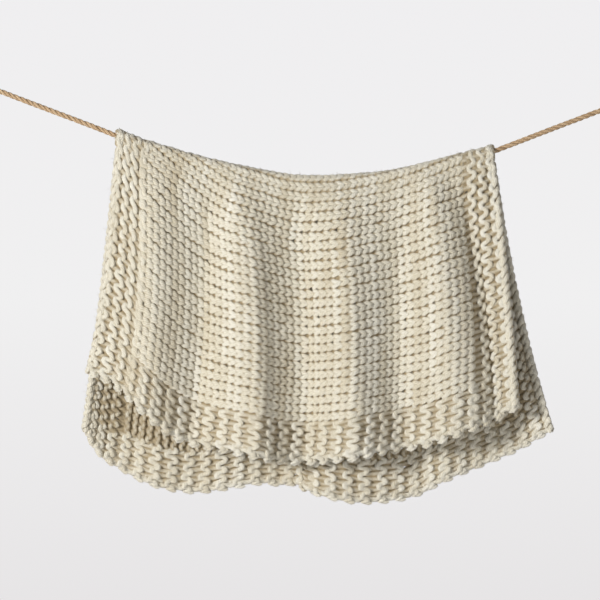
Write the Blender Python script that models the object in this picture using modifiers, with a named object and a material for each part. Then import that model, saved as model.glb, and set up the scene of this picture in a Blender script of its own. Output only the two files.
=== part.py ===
"""A chunky hand-knit blanket hung over a sagging three-strand rope.

Metres, +Z up, the viewer on the -Y side. The origin is the middle of the eye at the rope's left end.
The blanket is one sheet that goes up the front, over the rope and down the back. A point on it is named by
two counts: the course, from the left edge to the right one, and the stitch, from the rope down a flap.
"""

import math

import bpy
import numpy as np

MM = 0.001

# Rope
ROPE_DIAMETER = 8.6 * MM
STRANDS = 3
STRAND_DIAMETER = 4.5 * MM
LAY_LENGTH = 30.0 * MM
RINGS_PER_LAY = 9
PLAIN_STEP = 14.0 * MM
EYE_STEP = 5.2 * MM
ROPE_SIDES = 12

# Whipping round each eye's throat
WHIP_FROM = 52.0 * MM
WHIP_TO = 68.0 * MM
WHIP_THICK = 1.8 * MM
WHIP_CLEARANCE = 0.35 * MM
WHIP_SIDES = 28

# Blanket
COURSES = 62
STITCHES = 66
THICK_OVER_ROPE = 7.6 * MM
THICK_FLAP = 11.0 * MM
THICK_BORDER = 12.6 * MM
SEAT_RADIUS = 8.8 * MM
TURN_STITCHES = 0.95
THICKEN_STITCHES = 4.0
SIDE_BORDER_LEFT = 7
SIDE_BORDER_RIGHT = 9
HEM_BORDER = 5
EDGE_MARGIN = 0.25
EDGE_THINNING = 0.62
TOP_STRETCH = 0.13
GRID_ACROSS = 52
TURN_STEPS = 3
FLAP_ROWS = 20
FIRST_ROW_SHARE = 0.62
GRID_ALONG = 2 * (TURN_STEPS + FLAP_ROWS)
LEVELS = np.array([0.0, 0.06, 0.22, 0.5, 1.0])
NEAR_TO_MID = 0.6

# Rope centreline from eye to eye in millimetres: x, z
ROPE_LINE = np.array([
    (0.0, 0.0), (71.6, -27.2), (151.1, -57.4), (227.4, -86.3), (258.4, -98.6), (278.3, -106.8),
    (298.9, -114.6), (333.9, -125.3), (368.9, -135.6), (416.6, -148.0), (464.3, -158.4), (500.9, -165.4),
    (535.8, -170.3), (572.4, -171.9), (612.2, -170.8), (651.9, -168.2), (694.8, -163.5), (726.6, -156.5),
    (758.4, -149.1), (790.2, -140.6), (818.9, -132.6), (837.9, -128.8), (852.2, -124.3), (872.9, -116.5),
    (930.2, -94.4), (1006.5, -65.3), (1097.1, -30.8),
])

# One eye, in millimetres from its middle: distance towards the blanket, distance above the rope's line.
# It starts at the cut tail, which lies under the rope, and ends on the rope's line.
EYE = np.array([
    (73.0, -9.0), (60.0, -9.0), (49.0, -9.2), (37.0, -12.2), (23.0, -18.6), (10.0, -23.0), (-2.0, -24.0),
    (-15.0, -18.6), (-22.0, -9.5), (-24.2, 0.0), (-22.0, 9.5), (-15.0, 18.6), (-2.0, 24.0), (10.0, 21.6),
    (23.0, 14.0), (36.0, 4.8), (47.0, 0.3), (60.0, 0.0), (76.6, 0.0),
])

# Folds of the front flap, in millimetres but for the first and last columns. "out" is towards the viewer.
# course, x at the rope, at half height and at the hem, out near the rope, at half height and at the hem,
# z of the hem, stitches between the rope and the hem
FRONT_FOLDS = np.array([
    (0.00, 257.6, 243.0, 210.1, 9.5, 19.0, 22.0, -471.3, 25.30),
    (3.63, 291.0, 282.3, 255.6, 14.3, 32.0, 34.0, -492.0, 26.65),
    (7.31, 319.6, 319.0, 306.5, 17.5, 42.0, 45.0, -538.6, 27.69),
    (10.83, 364.1, 359.1, 343.3, 12.7, 24.0, 25.0, -571.6, 29.05),
    (14.10, 408.6, 396.3, 377.2, 9.5, 8.0, 6.4, -586.8, 30.24),
    (17.01, 429.3, 422.4, 412.9, 14.3, 25.4, 23.9, -593.3, 30.78),
    (21.67, 451.6, 465.7, 468.9, 19.1, 49.3, 52.5, -601.4, 31.26),
    (23.03, 464.3, 481.3, 484.6, 17.5, 49.3, 57.2, -604.4, 31.37),
    (25.10, 485.0, 499.8, 501.5, 14.3, 33.4, 39.8, -609.3, 31.56),
    (30.82, 543.8, 561.2, 564.4, 9.5, 8.0, 11.1, -616.0, 32.00),
    (33.64, 570.8, 584.8, 589.4, 14.3, 30.2, 35.0, -611.6, 32.00),
    (37.29, 612.2, 627.0, 633.0, 19.1, 52.5, 60.4, -605.2, 31.89),
    (40.33, 650.3, 655.0, 663.0, 14.3, 38.2, 46.1, -599.9, 31.61),
    (45.24, 710.7, 705.3, 711.5, 9.5, 12.7, 15.9, -594.4, 31.17),
    (49.02, 733.0, 743.6, 752.9, 14.3, 31.8, 33.4, -585.3, 30.96),
    (52.97, 755.3, 779.9, 798.4, 19.1, 50.9, 54.1, -567.1, 30.75),
    (54.91, 768.0, 802.4, 820.7, 14.3, 42.9, 49.3, -559.2, 30.63),
    (58.90, 803.0, 842.9, 863.9, 9.5, 14.3, 25.4, -543.2, 30.30),
    (60.16, 822.0, 856.1, 874.2, 12.7, 23.9, 31.8, -536.4, 30.19),
    (62.00, 855.4, 877.3, 892.3, 11.1, 31.8, 38.2, -523.8, 30.00),
])

# Folds of the back flap. "back" is the distance away from the viewer.
# course, x at half height and at the hem, back near the rope, at half height and at the hem, z of the hem
BACK_FOLDS = np.array([
    (0.00, 230.5, 201.0, 9.5, 15.9, 22.3, -564.1),
    (2.22, 253.7, 221.7, 11.1, 23.9, 38.2, -603.8),
    (5.59, 288.6, 263.8, 11.1, 27.0, 52.5, -635.7),
    (9.39, 334.1, 309.1, 9.5, 19.1, 52.5, -658.3),
    (14.12, 384.9, 370.1, 12.7, 27.0, 60.4, -670.5),
    (18.83, 439.6, 428.6, 11.1, 22.3, 57.2, -665.3),
    (23.09, 487.5, 480.2, 11.1, 28.5, 60.0, -656.8),
    (26.25, 522.8, 519.2, 12.7, 33.0, 66.0, -659.3),
    (28.17, 542.1, 542.0, 11.1, 28.0, 57.0, -658.1),
    (30.19, 555.0, 556.6, 9.5, 19.1, 38.2, -665.0),
    (32.57, 580.5, 583.8, 9.5, 14.3, 23.9, -673.1),
    (36.37, 625.4, 628.7, 12.7, 22.3, 25.4, -682.9),
    (40.60, 673.2, 680.5, 9.5, 14.3, 35.0, -683.9),
    (44.85, 721.8, 732.3, 12.7, 27.0, 41.3, -675.0),
    (49.34, 772.3, 784.5, 9.5, 15.9, 28.6, -648.0),
    (53.78, 821.3, 841.6, 12.7, 27.0, 38.2, -624.7),
    (58.05, 865.7, 896.5, 11.1, 22.3, 25.4, -599.5),
    (62.00, 898.4, 953.7, 9.5, 14.3, 9.5, -564.8),
])


def smooth_through(stations, values, at):
    """A smooth curve through the values at the stations, read at AT. Values may have columns."""
    stations = np.asarray(stations, float)
    values = np.asarray(values, float)
    at = np.clip(np.asarray(at, float), stations[0], stations[-1])
    gaps = np.diff(stations)
    slopes = np.diff(values, axis=0) / (gaps if values.ndim == 1 else gaps[:, None])
    before, after = gaps[:-1], gaps[1:]
    if values.ndim > 1:
        before, after = before[:, None], after[:, None]
    tangents = np.empty_like(values)
    tangents[0], tangents[-1] = slopes[0], slopes[-1]
    tangents[1:-1] = (slopes[:-1] * after + slopes[1:] * before) / (before + after)
    i = np.clip(np.searchsorted(stations, at, side="right") - 1, 0, len(gaps) - 1)
    gap = gaps[i]
    s = (at - stations[i]) / gap
    if values.ndim > 1:
        gap, s = gap[..., None], s[..., None]
    h00 = 2 * s**3 - 3 * s**2 + 1
    h10 = s**3 - 2 * s**2 + s
    h01 = 3 * s**2 - 2 * s**3
    h11 = s**3 - s**2
    return h00 * values[i] + h10 * gap * tangents[i] + h01 * values[i + 1] + h11 * gap * tangents[i + 1]


def rope_height(x):
    """z of the rope's centreline at x, both in metres."""
    return smooth_through(ROPE_LINE[:, 0], ROPE_LINE[:, 1], x / MM) * MM


def rope_slope(x):
    return (rope_height(x + 2 * MM) - rope_height(x - 2 * MM)) / (4 * MM)


def stitches_in_front(course):
    return smooth_through(FRONT_FOLDS[:, 0], FRONT_FOLDS[:, 8], course)


def flap_point(course, part_down, x_rope, folds, sign):
    """A point of one flap. PART_DOWN is 0 beside the rope and 1 at the hem. FOLDS is a row of the table."""
    x_mid, x_hem, near, mid, hem, z_hem = [folds[..., k] * MM for k in range(6)]
    t = part_down
    x = x_rope * (2 * t - 1) * (t - 1) + x_mid * 4 * t * (1 - t) + x_hem * t * (2 * t - 1)
    out = np.zeros_like(t)
    steps = [np.full_like(near, SEAT_RADIUS), near, near + NEAR_TO_MID * (mid - near), mid, hem]
    for level, value in enumerate(steps):
        unit = np.zeros(len(LEVELS))
        unit[level] = 1.0
        out = out + value * smooth_through(LEVELS, unit, t)
    z_rope = rope_height(x_rope)
    down = (1 + TOP_STRETCH) * t - TOP_STRETCH * t**2
    return np.stack([x, -sign * out, z_rope + (z_hem - z_rope) * down], axis=-1)


def cloth_point(course, stitch):
    """Middle of the cloth at a course and at a stitch counted from the rope, down the front if positive."""
    course, stitch = np.broadcast_arrays(np.asarray(course, float), np.asarray(stitch, float))
    front = smooth_through(FRONT_FOLDS[:, 0], FRONT_FOLDS[:, 1:8], course)
    back = smooth_through(BACK_FOLDS[:, 0], BACK_FOLDS[:, 1:7], course)
    x_rope = front[..., 0] * MM
    in_front = stitches_in_front(course)
    turn = np.clip(stitch / TURN_STITCHES, -1, 1) * math.pi / 2
    lean = np.sqrt(1 + rope_slope(x_rope) ** 2)
    z_seat = rope_height(x_rope) + SEAT_RADIUS * lean * np.cos(turn)
    seat = np.stack([x_rope, -SEAT_RADIUS * np.sin(turn), z_seat], axis=-1)
    down_front = np.clip((stitch - TURN_STITCHES) / (in_front - TURN_STITCHES), 0, 1)
    down_back = np.clip((-stitch - TURN_STITCHES) / (STITCHES - in_front - TURN_STITCHES), 0, 1)
    on_front = flap_point(course, down_front, x_rope, front[..., 1:], 1)
    on_back = flap_point(course, down_back, x_rope, back, -1)
    flap = np.where((stitch > 0)[..., None], on_front, on_back)
    return np.where((np.abs(stitch) > TURN_STITCHES)[..., None], flap, seat)


def thickness_at(course, stitch):
    """Cloth thickness: pressed thin over the rope, full in the flaps, fuller in the garter stitch borders."""
    in_front = stitches_in_front(course)
    to_hem = np.where(stitch > 0, in_front - stitch, STITCHES - in_front + stitch)
    border = np.maximum.reduce([
        SIDE_BORDER_LEFT - course, course - (COURSES - SIDE_BORDER_RIGHT), HEM_BORDER - to_hem])
    full = THICK_FLAP + (THICK_BORDER - THICK_FLAP) * np.clip(border, 0, 1)
    grown = np.clip((np.abs(stitch) - TURN_STITCHES) / THICKEN_STITCHES, 0, 1)
    return THICK_OVER_ROPE + (full - THICK_OVER_ROPE) * grown * grown * (3 - 2 * grown)


def plain_material(name, colour, roughness):
    material = bpy.data.materials.new(name)
    material.use_nodes = True
    shader = material.node_tree.nodes["Principled BSDF"]
    shader.inputs["Base Color"].default_value = (*colour, 1.0)
    shader.inputs["Roughness"].default_value = roughness
    material.diffuse_color = (*colour, 1.0)
    return material


def add_object(name, mesh, material, collection):
    obj = bpy.data.objects.new(name, mesh)
    mesh.materials.append(material)
    for face in mesh.polygons:
        face.use_smooth = True
    collection.objects.link(obj)
    return obj


def quad_mesh(name, points, quads):
    mesh = bpy.data.meshes.new(name)
    mesh.from_pydata([tuple(p) for p in points], [], quads)
    mesh.update()
    return mesh


def build_blanket(collection):
    """The draped middle surface as a grid, thickened both ways, thinner round its rim."""
    across = np.linspace(EDGE_MARGIN, COURSES - EDGE_MARGIN, GRID_ACROSS + 1)
    course = np.repeat(across[:, None], GRID_ALONG + 1, axis=1)
    in_front = stitches_in_front(course) - EDGE_MARGIN
    behind = STITCHES - in_front - 2 * EDGE_MARGIN
    turn = TURN_STITCHES * np.arange(-TURN_STEPS, TURN_STEPS + 1) / TURN_STEPS
    steps = (np.arange(FLAP_ROWS) + 1) / FLAP_ROWS
    down = FIRST_ROW_SHARE * steps + (1 - FIRST_ROW_SHARE) * steps**2
    down_front = TURN_STITCHES + (in_front[:, :1] - TURN_STITCHES) * down
    down_back = TURN_STITCHES + (behind[:, :1] - TURN_STITCHES) * down
    over_rope = np.repeat(turn[None], GRID_ACROSS + 1, axis=0)
    stitch = np.concatenate([-down_back[:, ::-1], over_rope, down_front], axis=1)
    points = cloth_point(course, stitch)
    thick = thickness_at(course, stitch)
    rim = np.zeros_like(course, bool)
    rim[[0, -1], :] = True
    rim[:, [0, -1]] = True
    thick = np.where(rim, thick * EDGE_THINNING, thick)
    rows_in = GRID_ALONG + 1
    quads = [
        (a * rows_in + b, a * rows_in + b + 1, (a + 1) * rows_in + b + 1, (a + 1) * rows_in + b)
        for a in range(GRID_ACROSS)
        for b in range(GRID_ALONG)
    ]
    mesh = quad_mesh("blanket", points.reshape(-1, 3), quads)
    obj = add_object("blanket", mesh, plain_material("cream wool", (0.79, 0.74, 0.62), 0.95), collection)
    group = obj.vertex_groups.new(name="thickness")
    for index, value in enumerate((thick / thick.max()).reshape(-1)):
        group.add([index], float(value), "REPLACE")
    solidify = obj.modifiers.new("cloth thickness", "SOLIDIFY")
    solidify.thickness = float(thick.max())
    solidify.offset = 0.0
    solidify.vertex_group = group.name
    return obj


def eye_frame(end):
    """Middle of an eye, the direction to the blanket, and the direction up from the rope. END is 0 or -1."""
    middle = ROPE_LINE[end] * MM
    towards = (ROPE_LINE[1] - ROPE_LINE[0]) if end == 0 else (ROPE_LINE[-2] - ROPE_LINE[-1])
    towards = towards / np.linalg.norm(towards)
    up = np.array([-towards[1], towards[0]]) * math.copysign(1, towards[0])
    return middle, towards, up


def eye_points(end):
    middle, towards, up = eye_frame(end)
    return middle + (EYE[:, :1] * towards + EYE[:, 1:] * up) * MM


def rope_route():
    """Close points along the rope, x and z: tail, left eye, the line under the blanket, right eye, tail."""
    knots = np.concatenate([eye_points(0)[:-1], ROPE_LINE[1:-1] * MM, eye_points(-1)[:-1][::-1]])
    reach = np.concatenate([[0], np.cumsum(np.linalg.norm(np.diff(knots, axis=0), axis=1))])
    return smooth_through(reach, knots, np.linspace(0, reach[-1], 3000))


def rope_rings():
    """Ring centres along the rope, and 1 for each ring where the twist is raised."""
    route = rope_route()
    reach = np.concatenate([[0], np.cumsum(np.linalg.norm(np.diff(route, axis=0), axis=1))])
    line = [
        0.0,
        reach[np.argmax((route[:, 0] > 0.045) & (reach > 0.15))],
        reach[np.argmax(route[:, 0] > FRONT_FOLDS[0, 1] * MM + 12 * MM)],
        reach[np.argmax(route[:, 0] > FRONT_FOLDS[-1, 1] * MM - 12 * MM)],
        reach[np.argmax(route[:, 0] > ROPE_LINE[-1, 0] * MM - 0.045)],
        reach[-1],
    ]
    steps = [EYE_STEP, LAY_LENGTH / RINGS_PER_LAY, PLAIN_STEP, LAY_LENGTH / RINGS_PER_LAY, EYE_STEP]
    at, raised = [], []
    for part, step in enumerate(steps):
        stops = np.linspace(line[part], line[part + 1], round((line[part + 1] - line[part]) / step) + 1)
        twisted = part in (1, 3)
        if part in (2, 4):
            stops = stops[1:]
        if part in (0, 2):
            stops = stops[:-1]
        at.extend(stops)
        raised.extend([float(twisted)] * (len(at) - len(raised)))
    at = np.array(at)
    x, z = np.interp(at, reach, route[:, 0]), np.interp(at, reach, route[:, 1])
    centre = np.stack([x, np.zeros_like(at), z], axis=-1)
    return centre, np.array(raised)


def build_rope(collection):
    """Rings of a round or three-lobed section. The lobes turn along the rope by its lay."""
    centre, raised = rope_rings()
    along = np.gradient(centre, axis=0)
    along /= np.linalg.norm(along, axis=1)[:, None]
    step = np.concatenate([[0], np.linalg.norm(np.diff(centre, axis=0), axis=1)])
    twisting = np.concatenate([[0], raised[1:] * raised[:-1]])
    turned = np.cumsum(step * twisting) * 2 * math.pi / LAY_LENGTH
    side = np.array([0.0, 1.0, 0.0])
    up = np.cross(along, side)
    angles = np.arange(ROPE_SIDES) * 2 * math.pi / ROPE_SIDES
    offset = ROPE_DIAMETER / 2 - STRAND_DIAMETER / 2
    lobe = np.abs((angles * STRANDS / (2 * math.pi) + 0.5) % 1 - 0.5) * 2 * math.pi / STRANDS
    lobed = offset * np.cos(lobe) + np.sqrt((STRAND_DIAMETER / 2) ** 2 - (offset * np.sin(lobe)) ** 2)
    points = []
    for k in range(len(centre)):
        radius = lobed if raised[k] else np.full(ROPE_SIDES, ROPE_DIAMETER / 2)
        spin = angles - turned[k]
        around = np.cos(spin)[:, None] * up[k] + np.sin(spin)[:, None] * side
        points.append(centre[k] + radius[:, None] * around)
    rings = len(points)
    quads = [
        (a * ROPE_SIDES + b, (a + 1) * ROPE_SIDES + b,
         (a + 1) * ROPE_SIDES + (b + 1) % ROPE_SIDES, a * ROPE_SIDES + (b + 1) % ROPE_SIDES)
        for a in range(rings - 1)
        for b in range(ROPE_SIDES)
    ]
    caps = [list(range(ROPE_SIDES)), list(range((rings - 1) * ROPE_SIDES, rings * ROPE_SIDES))[::-1]]
    mesh = quad_mesh("rope", np.concatenate(points), quads + caps)
    return add_object("rope", mesh, plain_material("tan rope fibre", (0.52, 0.36, 0.20), 0.85), collection)


def build_whipping(name, end, collection):
    """A sleeve of twine round the rope and its tail, with an oblong section."""
    middle, towards, up = eye_frame(end)
    gap = -EYE[0, 1] * MM
    inner = ROPE_DIAMETER / 2 + WHIP_CLEARANCE
    angles = (np.arange(WHIP_SIDES) + 0.5) * 2 * math.pi / WHIP_SIDES
    rings = []
    outer = inner + WHIP_THICK
    for along, radius in ((WHIP_FROM, inner), (WHIP_TO, inner), (WHIP_TO, outer), (WHIP_FROM, outer)):
        rise = radius * np.sin(angles) + np.where(np.sin(angles) > 0, 0.0, -gap)
        flat = middle + along * towards + rise[:, None] * up
        rings.append(np.stack([flat[:, 0], radius * np.cos(angles), flat[:, 1]], axis=-1))
    sides = WHIP_SIDES
    quads = [
        (a * sides + b, a * sides + (b + 1) % sides,
         ((a + 1) % 4) * sides + (b + 1) % sides, ((a + 1) % 4) * sides + b)
        for a in range(4)
        for b in range(sides)
    ]
    if end == 0:
        quads = [face[::-1] for face in quads]
    mesh = quad_mesh(name, np.concatenate(rings), quads)
    return add_object(name, mesh, plain_material(name + " twine", (0.60, 0.47, 0.30), 0.85), collection)


def main():
    for obj in list(bpy.data.objects):
        bpy.data.objects.remove(obj)
    collection = bpy.data.collections.new("knitted blanket on a rope")
    bpy.context.scene.collection.children.link(collection)
    build_blanket(collection)
    build_rope(collection)
    build_whipping("whipping_left", 0, collection)
    build_whipping("whipping_right", -1, collection)


main()
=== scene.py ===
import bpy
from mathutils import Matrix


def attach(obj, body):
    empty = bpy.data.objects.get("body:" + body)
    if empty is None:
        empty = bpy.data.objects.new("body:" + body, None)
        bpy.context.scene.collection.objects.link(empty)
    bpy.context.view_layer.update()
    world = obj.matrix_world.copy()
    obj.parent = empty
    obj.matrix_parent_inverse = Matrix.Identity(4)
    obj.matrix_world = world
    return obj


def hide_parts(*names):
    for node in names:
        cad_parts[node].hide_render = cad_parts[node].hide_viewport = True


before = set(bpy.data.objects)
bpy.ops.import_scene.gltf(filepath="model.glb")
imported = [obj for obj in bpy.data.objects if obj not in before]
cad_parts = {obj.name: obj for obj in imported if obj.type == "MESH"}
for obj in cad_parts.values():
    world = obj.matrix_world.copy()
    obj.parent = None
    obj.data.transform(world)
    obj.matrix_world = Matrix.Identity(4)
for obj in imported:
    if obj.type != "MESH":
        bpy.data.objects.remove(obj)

"""A chunky hand-knit blanket hung over a sagging three-strand rope, dressed stitch by stitch.

Every course of the blanket is one strand of wool that snakes through its loops along the drape. The drape
follows the same rule as in the part's source, where a point is named by its course, from the left edge, and
its stitch, from the rope.
"""

import math

import bpy
import numpy as np
from mathutils import Vector
from mathutils.bvhtree import BVHTree

MM = 0.001
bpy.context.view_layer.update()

# Rope and the twine round each eye's throat
ROPE_DIAMETER = 8.6 * MM
ROPE_STRANDS = 3
ROPE_STRAND_DIAMETER = 4.7 * MM
ROPE_STRAND_SIDES = 10
LAY_LENGTH = 30.0 * MM
RINGS_PER_LAY = 13
WHIP_FROM = 52.0 * MM
WHIP_TO = 68.0 * MM
TWINE_DIAMETER = 1.7 * MM
TWINE_PITCH = 1.02 * TWINE_DIAMETER
TWINE_CLEARANCE = 0.35 * MM
TWINE_STEPS = 28
TWINE_SIDES = 8

# The blanket's drape, with the same values as in the part's source
COURSES = 62
STITCHES = 66
SEAT_RADIUS = 8.8 * MM
TURN_STITCHES = 0.95
TOP_STRETCH = 0.13
LEVELS = np.array([0.0, 0.06, 0.22, 0.5, 1.0])
NEAR_TO_MID = 0.6

# The table that spaces the courses evenly along the folds
STEPS_A_COURSE = 4
SAMPLES_A_COURSE = 8

# Garter stitch borders: courses at the sides, plain stitches at the hems.
# A border course's width against a plain one is given at the hem and at the rope.
SIDE_BORDER_LEFT = 7
SIDE_BORDER_RIGHT = 7
HEM_BORDER = 5
LEFT_BORDER_WIDTH = (0.86, 0.63)
RIGHT_BORDER_WIDTH = (0.98, 0.64)

# Wool
YARN_DIAMETER = 8.0 * MM
YARN_SIDES = 6
EDGE_SIDES = 8
ROWS_A_PIECE = 11
PLY_LENGTH = 22.0 * MM

# One loop, from the link to the stitch before, by way of its head, to the link to the next stitch.
# Heights are half of a loop's height, in courses. A bulge is how far a loop's neck draws in, in stitches.
LOOP_STOPS = np.array([0, .06, .13, .21, .29, .37, .44, .5, .56, .63, .71, .79, .87, .94])
LOOP_HEIGHT = 0.66
HEM_LOOP_HEIGHT = 0.95
SIDE_LOOP_HEIGHT = 0.98
LOOP_BULGE = 0.29
GARTER_BULGE = 0.06
# Below 1 a stitch's two legs close up and the wales part
LEG_CLOSENESS = 0.80
# Length of a garter stitch in the side borders and at the hems, against a plain stitch
SIDE_STITCH = 1.375
HEM_STITCH = 1.25
# Below 1 a garter loop runs straighter along its head and its link
GARTER_SQUARE = 0.72
# How far a garter bump slants over its length, in courses
GARTER_TILT = 0.05
# Below 1 a garter bump keeps its height to its sides
GARTER_FLATNESS = 0.8

# How far a leg stands out from the middle of the cloth, and how far a wale drops from its middle to its side
DEPTH_FLAP = 3.0 * MM
DEPTH_GARTER = 4.4 * MM
WALE_ROUND = 3.4 * MM

# Over the rope: the part of the relief that is left, how far the wool moves out, and the thickness it loses
DEPTH_OVER_ROPE = 0.30
LIFT_OVER_ROPE = -0.7 * MM
THIN_OVER_ROPE = 0.20

# Thickness of the wool in a plain stitch's link, what its leg adds, in garter bumps, and between the bumps
LINK_THICKNESS = 0.92
LEG_THICKENING = 0.13
HEM_BUMP = 1.86
SIDE_BUMP = 1.72
GARTER_THIN = 0.86
# Above 1 a garter bump is shorter
BUMP_SHARPNESS = 1.5

# The open rows above the back hem's border: their reach from the hem, in stitches, and the wool's thickness
OPEN_REACH = 13
OPEN_KNIT = 0.52

# Unevenness of the hand knitting
UNEVEN_STITCH = 0.05
UNEVEN_COURSE = 0.06
UNEVEN_DEPTH = 0.45 * MM
UNEVEN_BUMP = 0.09
UNEVEN_GARTER_THICKNESS = 0.09
UNEVEN_THICKNESS = 0.05
UNEVEN_TONE = 0.05

# How far the hem draws in between two ridges, in stitches, and how far in from the hem it does
HEM_SCALLOP = 0.34
HEM_SCALLOP_REACH = 2.5

# Where the wool turns into the next course: courses from the course's own, then stitches from each hem
HEM_TURN_COURSES = np.array([1.75, 1.45, 1.1, 0.75])
FRONT_TURN = np.array([0.05, -0.22, -0.25, -0.15])
BACK_TURN = np.array([0.15, 0.25, 0.22, -0.05])

# The twisted side edge: courses from the side, how far its two strands throw, and its half turns in a stitch
EDGE_COURSE = 0.55
EDGE_THROW = 3.3 * MM
EDGE_TWIST = 0.95
EDGE_THICKNESS = 1.08

# A strand's colour is painted darker between these heights off the middle of the cloth, as the shade that
# falls between the stitches and strands, and has none of it in the open
HOLLOW_SHADE_FROM = 0.0 * MM
HOLLOW_SHADE_TO = 3.9 * MM
IN_THE_OPEN = 10.0 * MM
# The crease between two wales, in stitches from a wale's middle, and how much deeper it looks for the painted
# shade in the crease
CREASE_FROM = 0.36
CREASE_TO = 0.52
CREASE_SHADE = 1.7 * MM
# How much deeper the wool looks, for the painted shade between garter bumps, and in the open rows on their
# inner and outer side, for the painted shadow of the front flap there
LEG_SHADE_SINK = 1.4 * MM
OPEN_SHADOW_SINK = 4.6 * MM
OPEN_SHADOW_SINK_OUTSIDE = 1.8 * MM
# The two meet over this height to either side of the cloth's middle
SIDE_BLEND = 1 * MM

# The ground between the stitches, a sheet painted as the shade seen between them: its edges in from the
# cloth's, its thickness, and its gaps
GROUND_SIDE = 0.5
GROUND_HEM = 0.7
GROUND_THICKNESS = 1.2 * MM
GAP_REACH = 16.0 * MM
GAP_CHANCE = 0.10
OPEN_GAP_CHANCE = 0.5
OPEN_GAP_SHARE = 0.85

# Loose fibres
FIBRES = 5600
FIBRE_DIAMETER = 0.45 * MM
FIBRE_SIDES = 3
FIBRE_TONE = 0.25

# Finishes. Colours are the deep, middle and raised tones of the fibre. A ply's grooves take the deeper tones
# and its crests the lighter, as painted shade and light.
TONE_STOPS = (0.22, 0.48, 0.78)
STREAK_SHARE = 0.55
PLY_SHADE_SHARE = 0.25
SHEEN_ROUGHNESS = 0.55
FIBRE_SPECULAR = 0.18
# The last colour of WOOL and of HEMP is painted shade, laid where a strand's surface lies low between
# stitches or strands
WOOL = {
    "colours": ((0.60, 0.52, 0.37), (0.78, 0.73, 0.60), (0.90, 0.87, 0.78)),
    "plies": 6, "twist": PLY_LENGTH, "streaks": 2.2, "bump": 0.8 * MM, "roughness": 0.95, "sheen": 0.35,
    "hollow_shade": (0.43, 0.345, 0.215), "fuzzy": 0.32,
}
# painted shade between the rope's strands
HEMP = {
    "colours": ((0.36, 0.22, 0.11), (0.66, 0.46, 0.27), (0.90, 0.72, 0.50)),
    "plies": 8, "twist": 45.0 * MM, "streaks": 3.5, "bump": 0.6 * MM, "roughness": 0.7, "sheen": 0.1,
    "speck": 1500.0, "hollow_shade": (0.16, 0.09, 0.04),
}
TWINE = {
    "colours": ((0.40, 0.28, 0.15), (0.60, 0.47, 0.30), (0.75, 0.62, 0.42)),
    "plies": 2, "twist": 6.0 * MM, "streaks": 2.0, "bump": 0.3 * MM, "roughness": 0.8, "sheen": 0.1,
    "speck": 2500.0,
}
# Colours of the ground sheet, painted shade seen between the stitches
GROUND_SHADE_DARK = (0.33, 0.255, 0.15)
GROUND_SHADE_LIGHT = (0.46, 0.375, 0.24)

# Camera, floor and light. VIEW_WIDTH is what the view takes in at the blanket.
CAMERA_PLACE = (0.54855, -3.0, -0.35902)
SENSOR_WIDTH = 36.0
VIEW_WIDTH = 0.954
FLOOR_X = 0.55
FLOOR_Z = -1.5
FLOOR_RADIUS = 3.2
FLOOR_SIDES = 64
FLOOR_GREY = 0.82
BACKDROP_LOW = (0.790, 0.775, 0.782, 1)
BACKDROP_MIDDLE = (0.872, 0.868, 0.872, 1)
BACKDROP_HIGH = (0.868, 0.860, 0.872, 1)
BACKDROP_SPAN = 0.17
AMBIENT = 0.18
LIGHT_AIM = (0.55, 0, -0.38)
# name, place, diameter in metres, power in watts
LIGHTS = (
    ("key softbox", (-2.37, -3.24, 0.32), 0.8, 160),
    ("right fill", (2.9, -2.4, -0.3), 1.2, 15),
    ("back fill", (0.55, 2.9, 0.9), 1.6, 60),
)

# Rope centreline from eye to eye in millimetres: x, z
ROPE_LINE = np.array([
    (0.0, 0.0), (71.6, -27.2), (151.1, -57.4), (227.4, -86.3), (258.4, -98.6), (278.3, -106.8),
    (298.9, -114.6), (333.9, -125.3), (368.9, -135.6), (416.6, -148.0), (464.3, -158.4), (500.9, -165.4),
    (535.8, -170.3), (572.4, -171.9), (612.2, -170.8), (651.9, -168.2), (694.8, -163.5), (726.6, -156.5),
    (758.4, -149.1), (790.2, -140.6), (818.9, -132.6), (837.9, -128.8), (852.2, -124.3), (872.9, -116.5),
    (930.2, -94.4), (1006.5, -65.3), (1097.1, -30.8),
])

# One eye, in millimetres from its middle: distance towards the blanket, distance above the rope's line.
# It starts at the cut tail, which lies under the rope, and ends on the rope's line.
EYE = np.array([
    (73.0, -9.0), (60.0, -9.0), (49.0, -9.2), (37.0, -12.2), (23.0, -18.6), (10.0, -23.0), (-2.0, -24.0),
    (-15.0, -18.6), (-22.0, -9.5), (-24.2, 0.0), (-22.0, 9.5), (-15.0, 18.6), (-2.0, 24.0), (10.0, 21.6),
    (23.0, 14.0), (36.0, 4.8), (47.0, 0.3), (60.0, 0.0), (76.6, 0.0),
])

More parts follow.
